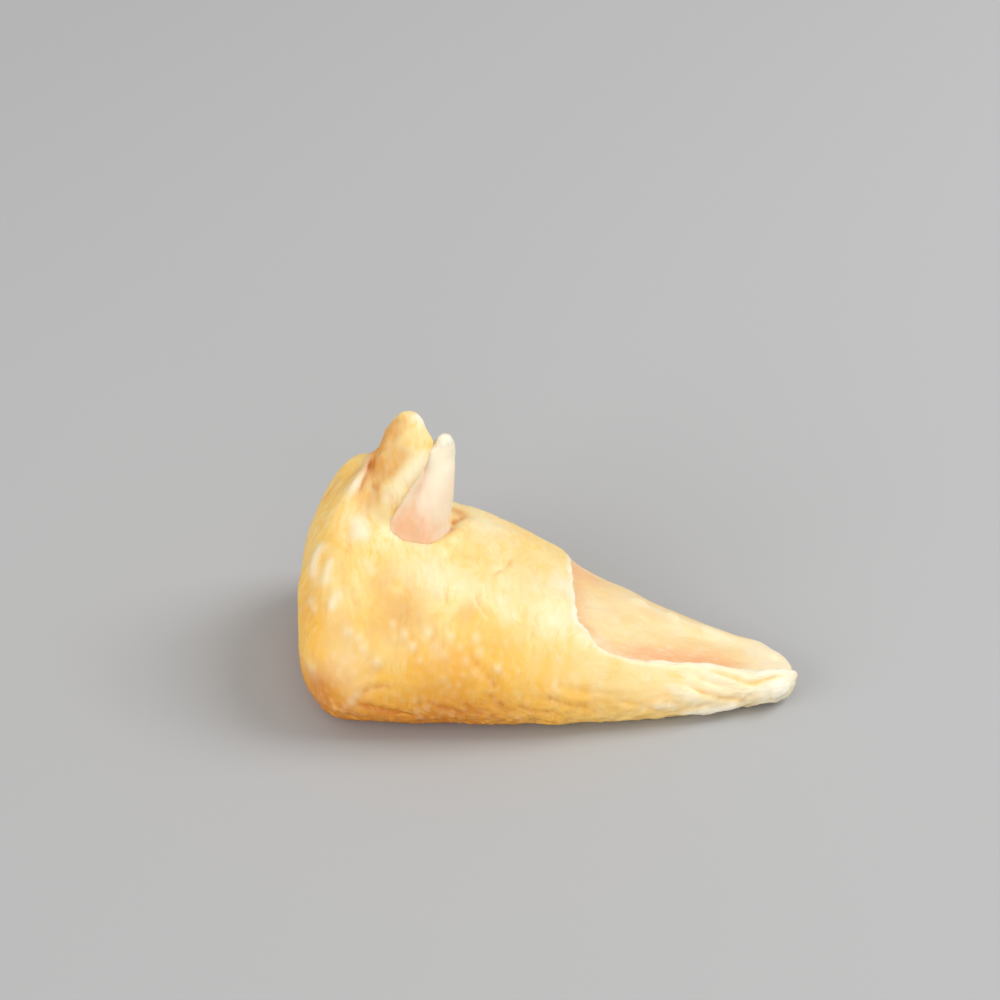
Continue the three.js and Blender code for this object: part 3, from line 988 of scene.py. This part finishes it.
class SUPREME_OT_flesh(bpy.types.Operator):
    """Makes the bare breast muscle"""

    bl_idname = "supreme.flesh"
    bl_label = "Breast muscle"

    def execute(self, context):
        """Builds the piece from its node."""
        settings = context.scene.supreme_flesh
        piece = soft_copy(["breast"], "breast_muscle", settings.grain)
        shape = Shape(piece)
        skin = Shape(soft_copy(["skin"], "skin_guide", GUIDE_GRAIN * MM))
        bare = bare_points(shape, skin)
        inward = distance_from(shape.places, shape.places[~bare])
        sunk = ease(distance_from(shape.places, shape.places[bare]), 1.5, 5.0)
        bpy.data.objects.remove(skin.piece)
        relief = Relief(shape)
        relief.ridges(FLESH_RIDGES)
        relief.creases(FLESH_CREASES)
        relief.patches(FLESH_PATCHES)
        relief.give()
        broad = grain_of(shape.places, (20.0, 9.0, 9.0), seed=1, octaves=2)
        strands = grain_of(shape.places, (12.0, 2.0, 2.0), seed=2, octaves=2)
        uneven = (0.22 * broad + 0.08 * strands) * ease(inward, 0.0, 4.0)
        raised = 0.35 + uneven + 0.65 * bell(inward, 2.5)
        shape.lift(raised * (1.0 - sunk) - SINK * sunk)
        # pinker beside the skin: partly the muscle's own colour, partly painted shade under the
        # skin's edge
        beside_skin = (1.0 - ease(inward, 0.5, 7.0)) * bare
        tip = ease(shape.places[:, 0], *FLESH_TIP)
        shape.keep("pink", np.clip(0.75 * beside_skin + relief.deep, 0.0, 1.0) * (1.0 - tip))
        # the white tip and the pale tones, many of them painted highlights
        shape.keep("film", np.clip(0.7 * tip + relief.pale, 0.0, 0.9))
        finish_piece(piece, "breast", flesh_finish(settings))
        return {"FINISHED"}


class SUPREME_OT_skin(bpy.types.Operator):
    """Makes the yellow skin with its folds, creases and pimples"""

    bl_idname = "supreme.skin"
    bl_label = "Skin"

    def execute(self, context):
        """Builds the piece from its node."""
        settings = context.scene.supreme_skin
        piece = soft_copy(["skin"], "chicken_skin", settings.grain)
        shape = Shape(piece)
        flesh = Shape(bpy.data.objects["breast_muscle"])
        bare = flesh.places[bare_points(flesh, shape)]
        self.fray_rim(shape, bare)
        at_wing = bell(shape.gap_to(Shape(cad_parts["wing_meat"])), 1.6)
        shape.soften(12, np.maximum(bell(distance_from(shape.places, bare), 2.6), at_wing))
        relief = Relief(shape)
        relief.pulls(SKIN_PULLS)
        relief.ridges(SKIN_RIDGES)
        relief.give()
        relief.creases(SKIN_CREASES)
        relief.patches(SKIN_PATCHES)
        relief.give()
        self.wrinkle(shape, settings.wrinkle / MM)
        pimple = self.raise_pimples(shape, settings.pimple / MM)
        self.keep_looks(shape, relief, pimple, distance_from(shape.places, bare))
        finish_piece(piece, "skin", skin_finish(settings))
        return {"FINISHED"}

    def fray_rim(self, shape, bare):
        """Makes the cut edge wander, as a knife leaves it."""
        x, y, z = shape.places.T
        near = bell(distance_from(shape.places, bare), 6.0)
        far_edge = ease(y, 4.0, 16.0) * ease(x, -10.0, 4.0) * ease(z, 3.0, 9.0)
        way = [grain_of(shape.places, 11.0, seed, octaves=3) for seed in (41, 42, 43)]
        way = np.stack(way, 1) * 2.2
        way -= shape.normals * (way * shape.normals).sum(1)[:, None]
        slant = 6.5 - 0.22 * z + 7.0 * grain_of(shape.places, 13.0, seed=44)
        way += np.outer(far_edge * np.clip(slant, -0.5, 8.0), FAR_SLOPE)
        shape.move(way * near[:, None])

    def wrinkle(self, shape, depth):
        """Broad unevenness, then fine wrinkles that run round the dome and along the tail."""
        places = shape.places
        x, _, z = places.T

        def folds(at, size, seed):
            """Sharp-crested folds, 1 at their crests."""
            return 1.0 - np.abs(grain_of(at, size, seed, octaves=2))

        tail = ease(x, 0.0, 35.0)
        broad = grain_of(places, 13.0, seed=3, octaves=2)
        around = folds(places, (2.4, 11.0, 11.0), 4)
        lengthwise = folds(places, (16.0, 2.6, 2.6), 5)
        low = 1.0 - ease(z, 4.0, 15.0)
        slanted = places @ np.array([[0.8, 0.2, 0.0], [-0.1, 1.0, 0.0], [0.6, 0.0, 1.0]])
        left = ease(-shape.normals[:, 0], 0.4, 0.8)
        hem = folds(slanted, (9.0, 3.0, 2.0), 9) * (1.0 - 0.35 * left)
        sideways = folds(places, (11.0, 2.4, 11.0), 13)
        falling = folds(places, (3.0, 3.0, 12.0), 12)
        end = ease(-shape.normals[:, 0], *FACING_END)
        around = (1.0 - end) * around + end * sideways
        fine = (1.0 - tail) * around ** 3 + tail * lengthwise ** 3
        fine = fine + 0.6 * ease(z, 52.0, 62.0) * falling ** 3
        patchy = ease(grain_of(places, 18.0, seed=6), -0.25, 0.45)
        shape.lift(0.5 * broad + depth * fine * (0.3 + 0.7 * patchy) + 2.6 * depth * low * hem ** 3)

    def raise_pimples(self, shape, height):
        """Pimples, plainest on the sides halfway down."""
        x, _, z = shape.places.T
        near_side = ease(-shape.normals[:, 1], -0.3, 0.4)
        side = near_side * ease(z, 3.0, 12.0) * (1.0 - ease(z, 22.0, 36.0))
        band = ease(grain_of(shape.places, 12.0, seed=8), -0.3, 0.25)
        return add_pimples(shape, height, (0.12 + 0.6 * side * band) * (1.0 - ease(x, 0.0, 25.0)))

    def keep_looks(self, shape, relief, pimple, rim):
        """Stores how golden, streaked, deep and pale the skin is, for its material, with painted
        shade low down, in hollows and creases, and painted highlights among the pale tones.
        """
        x, _, z = shape.places.T
        tip = ease(x, *TAIL_TO_TIP)
        # golden low down and at the thick left end, partly painted shade away from the light
        low = 1.0 - ease(z, *SIDE_TO_TOP) + 0.5 * (1.0 - ease(x, *THICK_END))
        shape.keep("low", np.clip(low, 0.0, 1.0) * (1.0 - 0.8 * ease(x, *SIDE_TO_STRIP)))
        shape.keep("tail", ease(x, *DOME_TO_TAIL))
        end = ease(np.abs(shape.normals[:, 0]), *FACING_END)
        shape.keep("end", end)
        shape.keep("streaks", np.maximum(end, ease(z, *CROWN)))
        strokes = (1.0 - ease(z, *STROKES_TOP)) * (1.0 - ease(x, *STROKES_END))
        shape.keep("hem", strokes * (1.0 - 0.9 * end))
        # painted shade: deep at the foot by the floor, in hollows and along the creases
        foot = (1.0 - ease(z, *FOOT_TOP)) * (1.0 - 0.9 * ease(x, *FOOT_END)) * (1.0 - tip)
        hollow_shade = 0.35 * ease(shape.hollow(), 0.02, 0.25) * (1.0 - 0.7 * ease(z, *ABOVE_SIDE))
        shape.keep("deep", np.clip(relief.deep + 0.9 * foot + hollow_shade, 0.0, 0.95))
        # the fat colour: the cut edge, the pale pimples and the pale tones, which hold painted
        # highlights; it gives way to painted shade
        edge = (1.0 - ease(rim, 1.0, 3.4)) * 0.75
        bright = 0.36 * np.clip(pimple, 0.0, 1.0)
        dull = (1.0 - relief.pale) * (1.0 - edge) * (1.0 - bright) * (1.0 - 0.4 * tip)
        shape.keep("light", np.clip((1.0 - dull) * (1.0 - 0.95 * relief.deep), 0.0, 0.95))


class SUPREME_OT_wing(bpy.types.Operator):
    """Makes the wing's meat and the white end of its bone"""

    bl_idname = "supreme.wing"
    bl_label = "Wing meat and cartilage"

    def execute(self, context):
        """Builds the two pieces from their nodes."""
        settings = context.scene.supreme_wing
        self.add_bone_end(settings)
        self.add_meat(settings)
        return {"FINISHED"}

    def add_bone_end(self, settings):
        """The bone's end, smooth where it is bare and sunk into the meat below."""
        piece = soft_copy(["wing_bone"], "wing_bone_end", settings.grain)
        shape = Shape(piece)
        depth = shape.places[:, 2].max() - shape.places[:, 2]
        bare_end = settings.bare_end / MM
        shape.move(np.array(KNOB_SHIFT))
        uneven = 0.06 * grain_of(shape.places, 3.5, seed=22, octaves=2)
        shape.lift(uneven + 0.05 - 0.85 * ease(depth, bare_end - 0.6, bare_end + 1.9))
        finish_piece(piece, "wing_bone", cartilage_finish(settings))

    def add_meat(self, settings):
        """The wing's meat, grown together with its bone into one finger."""
        piece = soft_copy(["wing_meat", "wing_bone"], "wing_meat_lobes", settings.grain)
        shape = Shape(piece)
        relief = Relief(shape)
        relief.ridges(WING_RIDGES)
        relief.creases(WING_CREASES)
        relief.patches(WING_PATCHES)
        relief.give()
        depth = shape.places[:, 2].max() - shape.places[:, 2]
        self.round_finger(shape, depth)
        relief.pulls(WING_PULLS)
        relief.give()
        under_skin = bell(shape.gap_to(Shape(bpy.data.objects["chicken_skin"])), 1.8)
        uneven = 0.2 * grain_of(shape.places, (4.0, 4.0, 14.0), seed=21, octaves=2)
        grooves = bell(grain_of(shape.places, (6.0, 6.0, 24.0), seed=23), 0.12)
        behind = ease(shape.normals[:, 1], -0.1, 0.5)
        uneven -= 0.4 * behind * grooves
        bare_end = settings.bare_end / MM
        at_end = 1.0 - ease(depth, bare_end - 1.6, bare_end + 0.4)
        grown = (uneven + 0.1 + 0.8 * under_skin) * ease(depth, 3.5, 6.0)
        shape.lift(0.1 + grown - 0.7 * at_end)
        foot = 1.0 - ease(shape.places[:, 2], *WING_FOOT)
        rear = 0.6 * behind * (1.0 - ease(shape.places[:, 2], *WING_REAR))
        shape.keep("pink", np.clip(0.35 * foot + rear + relief.deep, 0.0, 1.0))
        # cream near the top and where pale tones are given, on the finger partly a painted
        # highlight
        film = np.clip(relief.pale + 0.9 * (1.0 - ease(depth, 6.6, 16.6)), 0.0, 1.0)
        shape.keep("film", film * np.clip(1.0 - 1.8 * relief.deep - 0.4 * behind, 0.0, 1.0))
        finish_piece(piece, "wing_meat", wing_finish(settings))

    def round_finger(self, shape, depth):
        """Fills the step between meat and bone, and leans the top over with the bone's end."""
        shape.soften(30, (1.0 - ease(depth, 8.6, 12.6)) * ease(shape.hollow(), 0.0, 0.15))
        right = ease(shape.places[:, 0], -34.5, -32.5)
        shape.lift(0.7 * bell(depth - 9.0, 2.2) * right)
        shape.soften(40, bell(depth - 9.0, 3.5) * right)
        shape.move(np.outer(1.0 - ease(depth, 7.0, 12.0), KNOB_SHIFT))


class SUPREME_OT_stage(bpy.types.Operator):
    """Sets the floor, the lights and the camera"""

    bl_idname = "supreme.stage"
    bl_label = "Floor, lights and camera"

    def execute(self, context):
        """Builds the studio."""
        settings = context.scene.supreme_stage
        set_camera()
        self.add_floor(settings)
        for name, (place, side) in LIGHTS.items():
            self.add_light(name, place, side, getattr(settings, f"{name}_power"))
        world = bpy.data.worlds.new("room")
        world.use_nodes = True
        background = world.node_tree.nodes["Background"]
        background.inputs["Color"].default_value = (1.0, 1.0, 1.0, 1.0)
        background.inputs["Strength"].default_value = settings.room
        context.scene.world = world
        context.scene.view_settings.view_transform = "Standard"
        context.scene.view_settings.look = "None"
        return {"FINISHED"}

    def add_floor(self, settings):
        """A wide, plain floor."""
        floor = bpy.data.meshes.new("floor")
        shell = bmesh.new()
        bmesh.ops.create_grid(shell, x_segments=1, y_segments=1, size=FLOOR_REACH)
        shell.to_mesh(floor)
        shell.free()
        look = Finish("floor")
        mottle = look.remap(look.noise(40.0, 2.0), 0.3, 0.7, 0.86, 0.9)
        material = look.close((*settings.floor[:], 1.0), look.bump(look.noise(3.0), 0.01), mottle)
        floor.materials.append(material)
        piece = bpy.data.objects.new("floor", floor)
        bpy.context.scene.collection.objects.link(piece)

    def add_light(self, name, place, side, power):
        """A square soft light that faces the piece."""
        data = bpy.data.lights.new(name, "AREA")
        data.shape = "SQUARE"
        data.size = side
        data.energy = power
        lamp = bpy.data.objects.new(name, data)
        lamp.location = place
        lamp.rotation_euler = (LIGHTS_AIM - Vector(place)).to_track_quat("-Z", "Y").to_euler()
        bpy.context.scene.collection.objects.link(lamp)


MAKERS = (
    (SUPREME_OT_flesh, "supreme_flesh", FleshSettings),
    (SUPREME_OT_skin, "supreme_skin", SkinSettings),
    (SUPREME_OT_wing, "supreme_wing", WingSettings),
    (SUPREME_OT_stage, "supreme_stage", StageSettings),
)


class SUPREME_PT_panel(bpy.types.Panel):
    """Lists the makers and their sizes and colours"""

    bl_idname = "SUPREME_PT_panel"
    bl_label = "Chicken Supreme"
    bl_space_type = "VIEW_3D"
    bl_region_type = "UI"
    bl_category = "Supreme"

    def draw(self, context):
        """One button with its settings for each maker."""
        for maker, name, _ in MAKERS:
            box = self.layout.box()
            box.operator(maker.bl_idname)
            settings = getattr(context.scene, name)
            for key in settings.bl_rna.properties.keys():
                if key not in ("rna_type", "name"):
                    box.prop(settings, key)


def register():
    """Registers the settings, the makers and the panel."""
    for maker, name, group in MAKERS:
        bpy.utils.register_class(group)
        setattr(bpy.types.Scene, name, bpy.props.PointerProperty(type=group))
        bpy.utils.register_class(maker)
    bpy.utils.register_class(SUPREME_PT_panel)


def unregister():
    """Takes the panel, the makers and the settings out again."""
    bpy.utils.unregister_class(SUPREME_PT_panel)
    for maker, name, group in reversed(MAKERS):
        bpy.utils.unregister_class(maker)
        delattr(bpy.types.Scene, name)
        bpy.utils.unregister_class(group)


def plain(box):
    """A box's two corners as plain lists of numbers."""
    return [[float(value) for value in corner] for corner in box]


def main():
    """Makes every piece and the stage."""
    register()
    bpy.ops.supreme.flesh()
    bpy.ops.supreme.skin()
    bpy.ops.supreme.wing()
    bpy.ops.supreme.stage()


if __name__ == "__main__":
    main()
